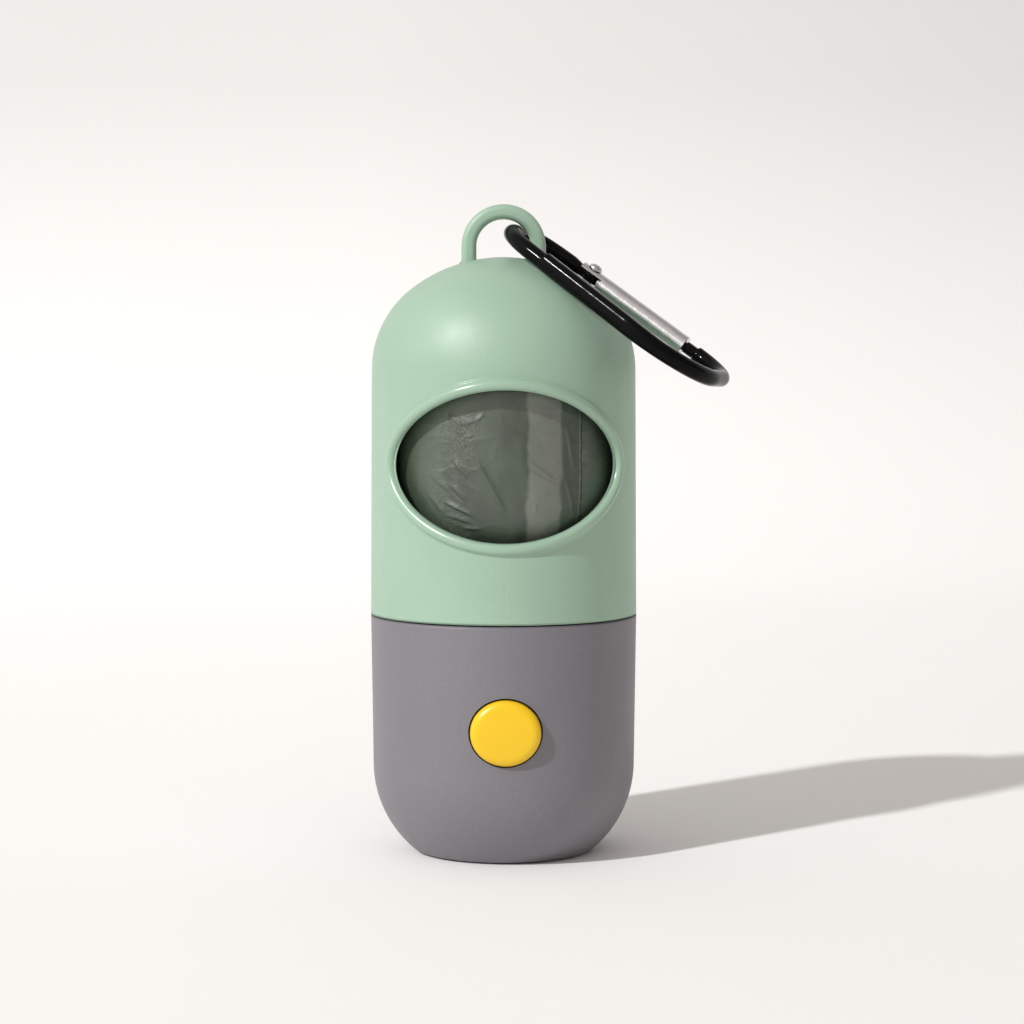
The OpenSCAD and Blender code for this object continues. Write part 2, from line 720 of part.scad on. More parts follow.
module board_screws() {
    color([0.7, 0.7, 0.7]) for (side = [-1, 1]) {
        translate([side * board_post_x, board_y - board_t, board_post_z]) rotate([90, 0, 0])
            screw(5, board_head_r, board_head_h);
    }
}

module circuit_board() {
    color([0.1, 0.35, 0.2]) difference() {
        translate([-board_half, board_y - board_t, board_z0])
            cube([2 * board_half, board_t, board_z1 - board_z0]);
        for (side = [-1, 1]) {
            translate([side * board_post_x, board_y + 1, board_post_z]) rotate([90, 0, 0])
                cylinder(r = screw_hole_r - 0.2, h = board_t + 2, $fn = small);
        }
    }
}

module push_switch() {
    color([0.15, 0.15, 0.15]) difference() {
        translate([-switch_w / 2, switch_front_y, button_z - switch_w / 2])
            cube([switch_w, switch_t, switch_w]);
        translate([0, plunger_y1 + button_travel + 0.2, button_z]) rotate([90, 0, 0])
            cylinder(r = plunger_r + run_gap, h = switch_t + 2, $fn = small);
    }
}

module switch_plunger() {
    color([0.9, 0.9, 0.88]) translate([0, plunger_y1, button_z]) rotate([90, 0, 0])
        cylinder(r = plunger_r, h = plunger_y1 - plunger_y0, $fn = small);
}

// Side outline of the button: skirt, rounded edge and slightly domed face, with height along its axis
module button_outline(l) {
    intersection() {
        union() {
            square([button_r, l - button_round]);
            square([button_r - button_round, l]);
            translate([button_r - button_round, l - button_round]) circle(r = button_round, $fn = small);
        }
        translate([0, l - button_crown_r]) circle(r = button_crown_r, $fn = fine);
    }
}

module button_cap() {
    boss_z = flange_y - plunger_y0 + seat_gap;
    color([0.98, 0.8, 0.12]) translate([0, flange_y, button_z]) rotate([90, 0, 0]) {
        translate([0, 0, -bite]) scale([1, button_squash, 1]) rotate_extrude($fn = round)
            button_outline(flange_y - button_face_y + bite);
        translate([0, 0, -flange_t]) intersection() {
            cylinder(r = flange_r, h = flange_t, $fn = round);
            translate([-flange_r - 1, -flange_half, -1])
                cube([2 * flange_r + 2, 2 * flange_half, flange_t + 2]);
        }
        translate([0, 0, boss_z]) cylinder(r = 2.2, h = 1 - boss_z, $fn = small);
    }
}

module led() {
    color([0.9, 0.92, 0.95]) {
        translate([0, 0, led_tip_z + led_r]) sphere(r = led_r, $fn = small);
        translate([0, 0, led_tip_z + led_r])
            cylinder(r = led_r, h = led_foot_z - led_tip_z - led_r + bite, $fn = small);
        translate([0, 0, led_foot_z]) cylinder(r = led_foot_r, h = led_foot_t, $fn = small);
        for (side = [-1, 1]) {
            translate([side * lead_x, 0, led_foot_z + led_foot_t - bite])
                cylinder(r = lead_r, h = lead_z - led_foot_z - led_foot_t + bite, $fn = 16);
            translate([side * lead_x, 0, lead_z]) sphere(r = lead_r, $fn = 16);
            translate([side * lead_x, 0, lead_z]) rotate([90, 0, 0])
                cylinder(r = lead_r, h = -board_y - seat_gap, $fn = 16);
        }
    }
}

module resistor() {
    chip = [3.2, 0.6, 1.6];
    color([0.1, 0.1, 0.1]) translate([-board_half / 2, board_y - board_t - chip.y, board_z0 + 2.9])
        cube(chip);
}

module cell(index) {
    rim = 0.9;
    color([0.82, 0.82, 0.8]) translate([cells_x0 + index * cell_t, trough_y, cell_z]) rotate([0, 90, 0]) {
        cylinder(r = cell_d / 2 - rim, h = 1, $fn = round);
        translate([0, 0, 0.35]) cylinder(r = cell_d / 2, h = cell_t - 0.35, $fn = round);
    }
}

module contact_plate() {
    color([0.8, 0.78, 0.7]) {
        translate([cells_x1, trough_y - contact_half, cell_z - contact_half])
            cube([contact_t, 2 * contact_half, 2 * contact_half]);
        translate([cells_x1, board_y + seat_gap, cell_z - 1])
            cube([contact_t, trough_y - contact_half + bite - board_y, 2]);
    }
}

module contact_spring() {
    base_x = cells_x0 - spring_l - contact_t;
    color([0.8, 0.78, 0.7]) {
        translate([base_x, trough_y - contact_half, cell_z - contact_half])
            cube([contact_t, 2 * contact_half, 2 * contact_half]);
        translate([base_x, board_y + seat_gap, cell_z - 1])
            cube([contact_t, trough_y - contact_half + bite - board_y, 2]);
        translate([base_x + contact_t - 0.1, trough_y, cell_z]) rotate([0, 90, 0])
            wire_coil(4, 2.4, spring_l + 0.1, 2.5, 0.3);
    }
}

module reflector() {
    depth = reflector_top_z - reflector_z;
    steps = 14;
    rise = depth / (pow(reflector_mouth_r, 2) - pow(throat_r, 2));
    bowl = [for (i = [0 : steps])
        let (r = reflector_mouth_r + (throat_r - reflector_mouth_r) * i / steps)
        [r, reflector_z + rise * (pow(reflector_mouth_r, 2) - r * r)]];
    back = [for (i = [steps : -1 : 0]) bowl[i] + [reflector_t, 0]];
    color([0.85, 0.85, 0.86]) {
        rotate_extrude($fn = round) polygon(concat(bowl, back));
        translate([0, 0, reflector_z]) difference() {
            cylinder(r = reflector_flange_r, h = reflector_t, $fn = round);
            translate([0, 0, -1]) cylinder(r = reflector_mouth_r + reflector_t / 3, h = 3, $fn = round);
        }
    }
}

module lens() {
    color([0.85, 0.9, 0.92, 0.5]) translate([0, 0, lens_z]) cylinder(r = lens_r, h = lens_t, $fn = round);
}

module base_ring() {
    color([0.1, 0.1, 0.1]) difference() {
        union() {
            cylinder(r = ring_flange_r, h = ring_flange_z - 0.05, $fn = round);
            cylinder(r = ring_collar_r, h = floor_z - 0.1, $fn = round);
        }
        translate([0, 0, -1]) cylinder(r = ring_lip_r, h = 5, $fn = round);
        translate([0, 0, lens_z]) cylinder(r = ring_bore_r, h = 5, $fn = round);
    }
}

upper_shell();
neck_seal();
carabiner_frame();
gate_rivet();
carabiner_gate();
gate_spring();
gate_plunger();
roll_core();
bag_roll();
lower_shell();
chassis();
battery_cover();
cover_screws();
chassis_screws();
circuit_board();
board_screws();
push_switch();
led();
resistor();
cell(0);  // cell_1
cell(1);  // cell_2
cell(2);  // cell_3
contact_plate();
contact_spring();
reflector();
lens();
base_ring();
button_cap();
switch_plunger();
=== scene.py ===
import math

import bmesh
import bpy
from mathutils import Matrix, Vector, noise


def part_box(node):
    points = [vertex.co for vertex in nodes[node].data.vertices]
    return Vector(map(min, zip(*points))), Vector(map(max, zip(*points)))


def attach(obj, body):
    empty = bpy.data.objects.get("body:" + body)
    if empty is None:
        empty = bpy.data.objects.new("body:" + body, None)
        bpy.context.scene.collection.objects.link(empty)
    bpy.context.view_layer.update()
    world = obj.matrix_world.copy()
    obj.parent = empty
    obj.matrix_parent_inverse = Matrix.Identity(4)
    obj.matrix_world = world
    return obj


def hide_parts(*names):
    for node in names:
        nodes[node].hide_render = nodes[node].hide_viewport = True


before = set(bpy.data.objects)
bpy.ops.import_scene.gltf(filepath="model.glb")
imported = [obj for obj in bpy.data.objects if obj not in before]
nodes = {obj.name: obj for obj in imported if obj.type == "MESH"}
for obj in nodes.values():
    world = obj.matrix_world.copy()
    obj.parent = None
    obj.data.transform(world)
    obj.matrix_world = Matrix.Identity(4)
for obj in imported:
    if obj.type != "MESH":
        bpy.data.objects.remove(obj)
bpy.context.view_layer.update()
print("frame loaded with", len(nodes), "nodes")

cameraSettings = {
    "place": (-0.00668, -0.46555, 0.0885),
    "pitchDown": 3.66,
    "turn": -1.0,
    "focalLength": 94.66,
    "sensorWidth": 36.0,
}


def makeCamera(settings):
    data = bpy.data.cameras.new("frontCamera")
    data.lens = settings["focalLength"]
    data.sensor_width = settings["sensorWidth"]
    data.clip_start = 0.01
    data.clip_end = 20
    cam = bpy.data.objects.new("frontCamera", data)
    cam.location = settings["place"]
    cam.rotation_euler = (math.radians(90 - settings["pitchDown"]), 0, math.radians(settings["turn"]))
    bpy.context.scene.collection.objects.link(cam)
    bpy.context.scene.camera = cam


makeCamera(cameraSettings)
print("camera ready")


# Colour of a socket, darkened or lightened by a factor
def opaque(colour, factor=1.0):
    return (colour[0] * factor, colour[1] * factor, colour[2] * factor, 1)


# A socket's value inside a node tree; arithmetic on it adds Math nodes
class Wire:
    def __init__(self, graph, socket):
        self.graph = graph
        self.socket = socket

    def __add__(self, other):
        return self.graph.maths("ADD", self, other)

    def __sub__(self, other):
        return self.graph.maths("SUBTRACT", self, other)

    def __rsub__(self, other):
        return self.graph.maths("SUBTRACT", other, self)

    def __mul__(self, other):
        return self.graph.maths("MULTIPLY", self, other)

    __radd__ = __add__
    __rmul__ = __mul__


# A node tree that is filled by adding nodes
class Graph:
    def __init__(self, tree):
        self.tree = tree

    def plug(self, node, sockets):
        for key, value in sockets.items():
            if isinstance(value, Wire):
                self.tree.links.new(value.socket, node.inputs[key])
            elif value is not None:
                node.inputs[key].default_value = value

    def node(self, kind, settings=None, sockets=None, out=0):
        made = self.tree.nodes.new(kind)
        for key, value in (settings or {}).items():
            setattr(made, key, value)
        self.plug(made, sockets or {})
        return Wire(self, made.outputs[out])

    def maths(self, operation, first, second=0):
        return self.node("ShaderNodeMath", {"operation": operation}, {0: first, 1: second})

    def vectorMaths(self, operation, first, second, out=0):
        return self.node("ShaderNodeVectorMath", {"operation": operation}, {0: first, 1: second}, out)

    def place(self, out="Object"):
        return self.node("ShaderNodeTexCoord", out=out)

    def split(self, vector):
        parts = self.tree.nodes.new("ShaderNodeSeparateXYZ")
        self.plug(parts, {0: vector})
        return [Wire(self, parts.outputs[i]) for i in range(3)]

    def facing(self, vector, direction):
        return self.vectorMaths("DOT_PRODUCT", vector, direction, out=1)

    def stretch(self, vector, scale):
        return self.vectorMaths("MULTIPLY", vector, scale)

    def cloud(self, vector, scale, detail=2.0, roughness=0.5, distortion=0.0):
        return self.node("ShaderNodeTexNoise", sockets={
            "Vector": vector, "Scale": scale, "Detail": detail, "Roughness": roughness,
            "Distortion": distortion})

    def span(self, value, low, high, newLow, newHigh):
        return self.node("ShaderNodeMapRange", {"clamp": True}, {
            "Value": value, "From Min": low, "From Max": high, "To Min": newLow, "To Max": newHigh})

    # Grows from nought to one over the first stretch of values and falls back over the second
    def between(self, value, rise, fall):
        return self.span(value, *rise, 0, 1) * self.span(value, *fall, 1, 0)

    def blendColour(self, amount, first, second, way="MIX"):
        made = self.tree.nodes.new("ShaderNodeMix")
        made.data_type = "RGBA"
        made.blend_type = way
        self.plug(made, {0: amount, 6: first, 7: second})
        return Wire(self, made.outputs[2])

    # A colour that drifts with a cloud between two factors of itself
    def drift(self, cloud, colour, darker, lighter=1.0, reach=0.15):
        amount = self.span(cloud, 0.5 - reach, 0.5 + reach, 0, 1)
        return self.blendColour(amount, opaque(colour, darker), opaque(colour, lighter))

    def bump(self, height, distance, strength=1.0, under=None):
        return self.node("ShaderNodeBump", sockets={
            "Height": height, "Distance": distance, "Strength": strength, "Normal": under})


# One material: its node tree, with a Principled shader at the end
class Finish(Graph):
    def __init__(self, name, constants):
        self.material = bpy.data.materials.new(name)
        self.material.use_nodes = True
        super().__init__(self.material.node_tree)
        self.shader = self.tree.nodes["Principled BSDF"]
        for socketName, value in constants.items():
            self.shader.inputs[socketName].default_value = value

    def drive(self, **wires):
        names = {"colour": "Base Color", "roughness": "Roughness", "normal": "Normal"}
        for key, wire in wires.items():
            self.tree.links.new(wire.socket, self.shader.inputs[names[key]])
        return self.material


# Clouds of the plastics: scale, detail and roughness
plasticClouds = {
    "flow": (55, 3, 0.55),
    "scuff": (260, 4, 0.65),
    "coarse": (1400, 3, 0.6),
    "spark": (2600, 1, 0.5),
    "fine": (3200, 2, 0.6),
}


# Fine upright scuffs that vary a plastic's roughness around a middle value
def scuffed(finish, at, roughness, smoother):
    scuff = finish.cloud(finish.stretch(at, (1, 1, 0.35)), *plasticClouds["scuff"])
    return finish.span(scuff, 0.3, 0.75, roughness - smoother, roughness + 0.05)


# Moulded plastic with a fine spark-eroded grain and faint clouding of its colour
def mouldedPlastic(name, colour, roughness, grain=1.0, specular=0.5):
    finish = Finish(name, {"Specular IOR Level": specular})
    at = finish.place()
    colourWire = finish.drift(finish.cloud(at, *plasticClouds["flow"]), colour, 0.975, 1.02)
    skin = finish.bump(finish.cloud(at, *plasticClouds["fine"]), 0.00002, 0.55 * grain)
    return finish.drive(colour=colourWire, roughness=scuffed(finish, at, roughness, 0.03), normal=skin)


casingLook = {
    "rimWidth": 0.00036,
    "paintedEdgeLight": 1.4,
    "paintedEdgeShare": 0.6,
    "rimBump": 0.0004,
    "mouldLineX": 0.0003,
    "mouldLineHalf": 0.00009,
    "mouldLineFade": 0.002,
    "insideEdge": (0.0217, 0.0219),
    "insideLow": (0.0205, 0.021),
    "insideHigh": (0.082, 0.083),
    "paintedInsideShade": 0.3,
    "paintedShadeShare": 0.75,
    "paintedGlints": (0.66, 0.72),
    "paintedGlintShare": 0.045,
}
greenCasing = {
    "roughness": 0.46,
    "specular": 0.65,
    "rimZ": 0.041325,
    "aboveRim": True,
    "lineLow": 0.0413,
    "lineTop": 0.0535,
}
greyCasing = {
    "roughness": 0.5,
    "specular": 0.85,
    "rimZ": 0.041075,
    "aboveRim": False,
    "lineLow": 0.03,
    "lineTop": 0.0411,
}


# Plastic of the casings: a softened edge at the seam with a painted highlight, a mould line down the front
# painted in the same lighter colour, white specks of painted glints, and painted shade on the inside
def casingPlastic(name, colour, casing, look):
    finish = Finish(name, {"Specular IOR Level": casing["specular"]})
    at = finish.place()
    px, py, pz = finish.split(at)
    fromRim = pz - casing["rimZ"] if casing["aboveRim"] else casing["rimZ"] - pz
    rim = finish.span(fromRim, 0, look["rimWidth"], 1, 0)
    radius = finish.maths("SQRT", px * px + py * py)
    # Painted shade: the inside wall between these heights is darkened in the colour, where the closed
    # casing lies in shade
    paintedShadeMask = finish.span(radius, *look["insideEdge"], 1, 0)
    paintedShadeMask = paintedShadeMask * finish.between(pz, look["insideLow"], look["insideHigh"])
    low, top, fade = casing["lineLow"], casing["lineTop"], look["mouldLineFade"]
    fromLine = finish.maths("ABSOLUTE", px - look["mouldLineX"])
    frontHalf = finish.span(py, -0.001, 0, 1, 0)
    mouldLine = finish.span(fromLine, 0, look["mouldLineHalf"], 1, 0) * frontHalf
    mouldLine = mouldLine * finish.between(pz, (low, low + fade), (top - fade, top))
    plain = finish.drift(finish.cloud(at, *plasticClouds["flow"]), colour, 0.975, 1.02)
    # Painted highlight: the seam edge and the mould line are lightened in the colour, as if they caught the
    # light
    paintedEdgeColour = opaque(colour, look["paintedEdgeLight"])
    edged = finish.blendColour((rim + mouldLine) * look["paintedEdgeShare"], plain, paintedEdgeColour)
    # Painted glints: fine white specks in the colour stand in for light catching the grain
    paintedGlints = finish.span(finish.cloud(at, *plasticClouds["spark"]), *look["paintedGlints"], 0, look["paintedGlintShare"])
    glinted = finish.blendColour(paintedGlints, edged, (1, 1, 1, 1))
    paintedShadeColour = opaque(colour, look["paintedInsideShade"])
    colourWire = finish.blendColour(paintedShadeMask * look["paintedShadeShare"], glinted, paintedShadeColour)
    bevel = finish.bump(rim * rim * -1.0 + mouldLine * 0.1, look["rimBump"])
    grain = finish.bump(finish.cloud(at, *plasticClouds["coarse"]), 0.00004, 0.5, bevel)
    skin = finish.bump(finish.cloud(at, *plasticClouds["fine"]), 0.00003, 0.7, grain)
    rough = scuffed(finish, at, casing["roughness"], 0.04)
    return finish.drive(colour=colourWire, roughness=rough, normal=skin)


coatLook = {
    "colour": (0.0022, 0.0022, 0.0024),
    "roughness": 0.075,
    "specular": 0.085,
    "worn": (0.62, 0.72),
    "wornLight": 2.2,
}


# Thick gloss paint with a slight orange peel, a little lighter and duller where it is worn
def glossyCoat(name, look):
    finish = Finish(name, {"Specular IOR Level": look["specular"]})
    at = finish.place()
    peel = finish.cloud(at, 700)
    wear = finish.cloud(at, 160, 5, 0.7)
    worn = finish.span(wear, *look["worn"], 0, 1)
    colourWire = finish.blendColour(worn, opaque(look["colour"]), opaque(look["colour"], look["wornLight"]))
    rough = finish.span(wear, 0.3, 0.7, look["roughness"], look["roughness"] + 0.09)
    return finish.drive(colour=colourWire, roughness=rough, normal=finish.bump(peel, 0.00003, 0.35))


# Bare metal with fine scuffs, drawn out along an axis whose factor is under one
def drawnMetal(name, colour, roughness, along=(1, 1, 1), depth=0.35):
    finish = Finish(name, {"Metallic": 1.0})
    at = finish.place()
    lines = finish.cloud(finish.stretch(at, along), 2400, 3, 0.6)
    colourWire = finish.drift(finish.cloud(at, 420, 4, 0.6), colour, 0.9, 1.05)
    rough = finish.span(lines, 0.3, 0.7, roughness - 0.05, roughness + 0.1)
    return finish.drive(colour=colourWire, roughness=rough, normal=finish.bump(lines, 0.00002, depth))


def clearPlastic(name, tint, roughness):
    finish = Finish(name, {"Transmission Weight": 1.0, "IOR": 1.49, "Roughness": roughness})
    ripple = finish.cloud(finish.place(), 300)
    colourWire = finish.drift(ripple, tint, 0.98, reach=0.2)
    return finish.drive(colour=colourWire, normal=finish.bump(ripple, 0.00002, 0.2))


clipSettings = {
    "hang": (0.001637, 0.0, 0.107008),
    "slope": 33.93,
    "roll": 9.27,
    "yaw": -16.64,
    "holdY": 0.12,
    "length": 43.5,
    "half": 12.6,
    "hingeBend": 6.5,
    "spineHingeBend": 9.0,
    "spineBend": 12.0,
    "gateBend": 7.8,
    "spineSlope": 12.1,
    "bar": 1.45,
    "rivetX": 12.5,
    "tangRadius": 1.6,
    "tangRound": 1.1,
    "tangHalf": 1.15,
    "tangEnd": 2.3,
    "tangBlend": 1.9,
    "tangStep": 0.35,
    "flatHalf": 0.75,
    "noseTip": 31.3,
    "noseHead": 1.0,
    "noseHalf": 1.45,
    "stemHalf": 1.1,
    "neckEnd": 33.75,
    "neckStep": 35.9,
    "neckRim": 0.12,
    "neckWide": 1.16,
    "neckThick": 1.05,
    "pressFrom": 3.0,
    "pressFade": 7.0,
    "pressThick": 1.76,
    "pressWide": 1.52,
    "thinner": 0.04,
}


# The carabiner's own frame, in the shared frame; its lengths are in millimetres
def clipFrame(settings):
    turned = (Matrix.Rotation(math.radians(settings["slope"]), 4, "Y")
              @ Matrix.Rotation(math.radians(settings["roll"]), 4, "X")
              @ Matrix.Rotation(math.radians(settings["yaw"]), 4, "Z"))
    return (Matrix.Translation(settings["hang"]) @ turned @ Matrix.Scale(0.001, 4)
            @ Matrix.Translation((0, -settings["holdY"], 0)))


# The scuffed band is in millimetres from the gate's middle line, out of the carabiner's plane
gateLook = {
    "colour": (0.66, 0.66, 0.67),
    "polished": 0.16,
    "scuffed": 0.36,
    "band": ((-0.4, -0.25), (0.35, 0.5)),
    "ragged": 0.5,
}


# Bright drawn tube of the gate, scuffed rough in a band along the middle of its flanks
def gateFinish(name, look, settings):
    finish = Finish(name, {"Metallic": 1.0})
    at = finish.place()
    outwards = clipFrame(settings).inverted().to_3x3().row[2].normalized()
    offset = outwards.dot(clipFrame(settings) @ Vector((settings["rivetX"], settings["half"], 0)))
    height = (finish.facing(at, outwards) - offset) * 1000.0
    speck = finish.cloud(at, 2600, 3, 0.65)
    lines = finish.cloud(at, 900)
    band = finish.between(height + (finish.cloud(at, 1500) - 0.5) * look["ragged"], *look["band"])
    colourWire = finish.drift(lines, look["colour"], 0.95, 1.04)
    rough = finish.span(band, 0, 1, look["polished"], look["scuffed"])
    rough = rough + finish.span(lines, 0.3, 0.7, -0.02, 0.03)
    skin = finish.bump(speck * band + lines * 0.1, 0.00004, 0.7)
    return finish.drive(colour=colourWire, roughness=rough, normal=skin)


plasticColours = {
    "green": (0.316, 0.465, 0.352),
    "grey": (0.167, 0.158, 0.18),
    "yellow": (0.865, 0.545, 0.009),
    "black": (0.018, 0.018, 0.02),
}
greenPlastic = casingPlastic("greenPlastic", plasticColours["green"], greenCasing, casingLook)
polishedGreen = mouldedPlastic("polishedGreen", plasticColours["green"], 0.24, 0.5, 0.7)
greyPlastic = casingPlastic("greyPlastic", plasticColours["grey"], greyCasing, casingLook)
yellowPlastic = mouldedPlastic("yellowPlastic", plasticColours["yellow"], 0.3, 0.5)
blackPlastic = mouldedPlastic("blackPlastic", plasticColours["black"], 0.5)
blackCoat = glossyCoat("blackCoat", coatLook)
gateMetal = gateFinish("gateMetal", gateLook, clipSettings)
screwSteel = drawnMetal("screwSteel", (0.58, 0.58, 0.58), 0.3)
springSteel = drawnMetal("springSteel", (0.5, 0.5, 0.51), 0.3)
contactBrass = drawnMetal("contactBrass", (0.62, 0.52, 0.3), 0.3)
cellSteel = drawnMetal("cellSteel", (0.6, 0.6, 0.59), 0.26, (0.3, 1, 1))
plating = drawnMetal("plating", (0.85, 0.85, 0.87), 0.08, depth=0.08)
sealRubber = mouldedPlastic("sealRubber", (0.012, 0.012, 0.012), 0.7)
boardGreen = mouldedPlastic("boardGreen", (0.02, 0.12, 0.045), 0.35)
partBlack = mouldedPlastic("partBlack", (0.015, 0.015, 0.015), 0.55)
plungerWhite = mouldedPlastic("plungerWhite", (0.75, 0.75, 0.72), 0.45)
cardboard = mouldedPlastic("cardboard", (0.42, 0.3, 0.18), 0.85, 2.0, 0.2)
lensClear = clearPlastic("lensClear", (0.93, 0.96, 0.97), 0.04)
bulbClear = clearPlastic("bulbClear", (0.95, 0.96, 0.98), 0.08)

nodeFinishes = {
    "upper_shell": greenPlastic,
    "lower_shell": greyPlastic,
    "button_cap": yellowPlastic,
    "carabiner_frame": blackCoat,
    "carabiner_gate": gateMetal,
    "gate_rivet": screwSteel,
    "gate_spring": springSteel,
    "gate_plunger": screwSteel,
    "roll_core": cardboard,
    "chassis": blackPlastic,
    "battery_cover": blackPlastic,
    "base_ring": blackPlastic,
    "cover_screws": screwSteel,
    "chassis_screws": screwSteel,
    "board_screws": screwSteel,
    "circuit_board": boardGreen,
    "push_switch": partBlack,
    "switch_plunger": plungerWhite,
    "led": bulbClear,
    "resistor": partBlack,
    "cell_1": cellSteel,
    "cell_2": cellSteel,
    "cell_3": cellSteel,
    "contact_plate": contactBrass,
    "contact_spring": contactBrass,
    "reflector": plating,
    "lens": lensClear,
    "neck_seal": sealRubber,
}


def dress(nodeName, material):
    slots = nodes[nodeName].material_slots
    if not slots:
        nodes[nodeName].data.materials.append(material)
    for slot in slots:
        slot.material = material


for nodeName, material in nodeFinishes.items():
    dress(nodeName, material)
print("finishes on the frame's own pieces")


def linkSmooth(name, data):
    for polygon in data.polygons:
        polygon.use_smooth = True
    made = bpy.data.objects.new(name, data)
    bpy.context.scene.collection.objects.link(made)
    return made


def linkMesh(name, mesh):
    data = bpy.data.meshes.new(name)
    mesh.to_mesh(data)
    mesh.free()
    return linkSmooth(name, data)


# Faces between two rings of as many points
def bridge(mesh, first, second):
    for i in range(len(first)):
        k = (i + 1) % len(first)
        mesh.faces.new((first[i], first[k], second[k], second[i]))


# Marks the edges that turn by more than an angle as sharp
def sharpen(made, degrees):
    mesh = bmesh.new()
    mesh.from_mesh(made.data)
    for edge in mesh.edges:
        if len(edge.link_faces) == 2 and edge.calc_face_angle() > math.radians(degrees):
            edge.smooth = False
    mesh.to_mesh(made.data)
    mesh.free()


rollSettings = {
    "tightRadius": 0.01698,
    "looseRadius": 0.02062,
    "looseMiddle": 0.07,
    "looseHalf": 0.0185,
    "low": 0.0338,
    "high": 0.0916,
    "coreRadius": 0.00806,
    "closeAngle": 66,
    "frontSteps": 380,
    "backSteps": 90,
    "closeStep": 0.00014,
    "wideStep": 0.0008,
    "closeLow": 0.053,
    "closeHigh": 0.082,
    "tearAngle": 39.2,
    "tearStep": 0.0006,
    "tearLip": 0.00016,
    "tearFade": 0.026,
    "tightFolds": 0.25,
    "setBack": 0.00022,
    "proud": 0.00008,
    "edgeRound": 0.0006,
    "edgeHeight": 0.0012,
    "endLayers": 26,
    "endInset": 0.0009,
    "layerSink": 0.00012,
    "layerRough": 0.0001,
    "layerWobble": 0.00015,
}

# Creases of the loose turn, in millimetres: arc from the front and height of both ends, half width, ridge
filmCreases = [
    (-6.4, 71.2, 0.9, 57.6, 0.42, 0.26),
    (-9.9, 76.0, -8.0, 74.4, 0.35, 0.2),
    (-8.2, 74.4, -5.0, 74.9, 0.4, 0.22),
    (-5.2, 74.8, -3.4, 76.2, 0.35, 0.16),
    (-9.0, 73.8, -7.0, 72.4, 0.32, 0.16),
    (-7.2, 72.4, -5.4, 72.4, 0.35, 0.18),
    (-9.1, 68.8, -6.6, 65.5, 0.45, 0.16),
    (-9.8, 64.6, -6.6, 61.6, 0.45, 0.2),
    (-11.2, 61.7, -5.2, 59.0, 0.32, 0.26),
    (-10.6, 59.3, -5.4, 57.9, 0.4, 0.18),
    (-7.9, 57.1, -4.3, 57.0, 0.35, 0.14),
    (3.7, 68.1, 8.9, 64.8, 0.3, 0.24),
    (3.5, 66.8, 8.9, 64.0, 0.3, 0.16),
    (-1.9, 70.5, 4.4, 68.1, 0.12, 0.06),
    (5.5, 62.7, 8.2, 63.0, 0.2, 0.1),
    (4.9, 61.4, 5.3, 59.6, 0.15, 0.1),
    (-1.2, 60.6, -0.9, 60.0, 0.12, 0.1),
    (5.0, 74.9, 8.7, 75.2, 0.35, 0.12),
    (5.2, 72.6, 8.9, 73.1, 0.3, 0.1),
    (10.6, 74.5, 12.4, 66.0, 0.5, 0.2),
    (10.4, 66.0, 12.6, 58.5, 0.45, 0.14),
    (-13.8, 66.2, -9.5, 63.2, 0.6, 0.1),
    (-14.2, 63.0, -10.6, 59.0, 0.5, 0.1),
]

# The rest of the film's relief, in millimetres. A ripple is its height, its scales across and up,
# and a seed; a fold is its scale, its height and how sharp it is.
filmRelief = {
    "creased": (52, 82),
    "swell": (0.16, 0.13, 0.08, 3.1),
    "bandRipple": (0.07, 0.22, 0.75, 5.2),
    "bandMiddle": 6.6,
    "bandHalf": 3.4,
    "folds": ((0.13, 0.12, 3), (0.3, 0.06, 4)),
    "foldedMiddle": -6.5,
    "foldedHalf": 4.5,
    "tearRipple": (0.16, 0.15, 0.95, 9.4),
    "tearReach": 3.2,
    "tearHalf": 1.6,
}


# Soft ridge of a given half width along the line between two points, steeper on one side
def crease(x, z, x0, z0, x1, z1, width):
    dx, dz = x1 - x0, z1 - z0
    length = math.hypot(dx, dz)
    along = ((x - x0) * dx + (z - z0) * dz) / length
    if along < 0 or along > length:
        return 0.0
    across = ((x - x0) * -dz + (z - z0) * dx) / length
    if abs(across) > 4 * width:
        return 0.0
    ends = min(1.0, along / (length * 0.3)) * min(1.0, (length - along) / (length * 0.3))
    side = across / (width * (0.45 if across < 0 else 1.5))
    return ends * math.exp(-side * side)


def ripple(x, z, height, across, up, seed):
    return height * noise.noise(Vector((x * across, z * up, seed)))


# Relief of the film, in metres, at an arc from the front, a height and an arc from the tear
def filmDepth(arc, height, fromTear, relief):
    x, z, tear = arc * 1000, height * 1000, fromTear * 1000
    low, high = relief["creased"]
    depth = ripple(x, z, *relief["swell"])
    if low < z < high:
        for x0, z0, x1, z1, width, ridge in filmCreases:
            depth += ridge * crease(x, z, x0, z0, x1, z1, width)
    band = max(0.0, 1 - abs(x - relief["bandMiddle"]) / relief["bandHalf"])
    depth += band * ripple(x, z, *relief["bandRipple"])
    folded = 0.5 + 0.5 * math.exp(-((x - relief["foldedMiddle"]) / relief["foldedHalf"]) ** 2)
    for scale, ridge, sharp in relief["folds"]:
        across = (x * 0.55 + z * 0.5) * scale
        down = (z * 0.8 - x * 0.35) * scale
        fold = 1 - abs(noise.noise(Vector((across, down, scale * 31)))) * 2
        depth += ridge * folded * max(0.0, fold) ** sharp
    if 0 < tear < relief["tearReach"]:
        depth += ripple(tear, z, *relief["tearRipple"]) * math.exp(-(tear / relief["tearHalf"]) ** 2)
    return depth * 0.001


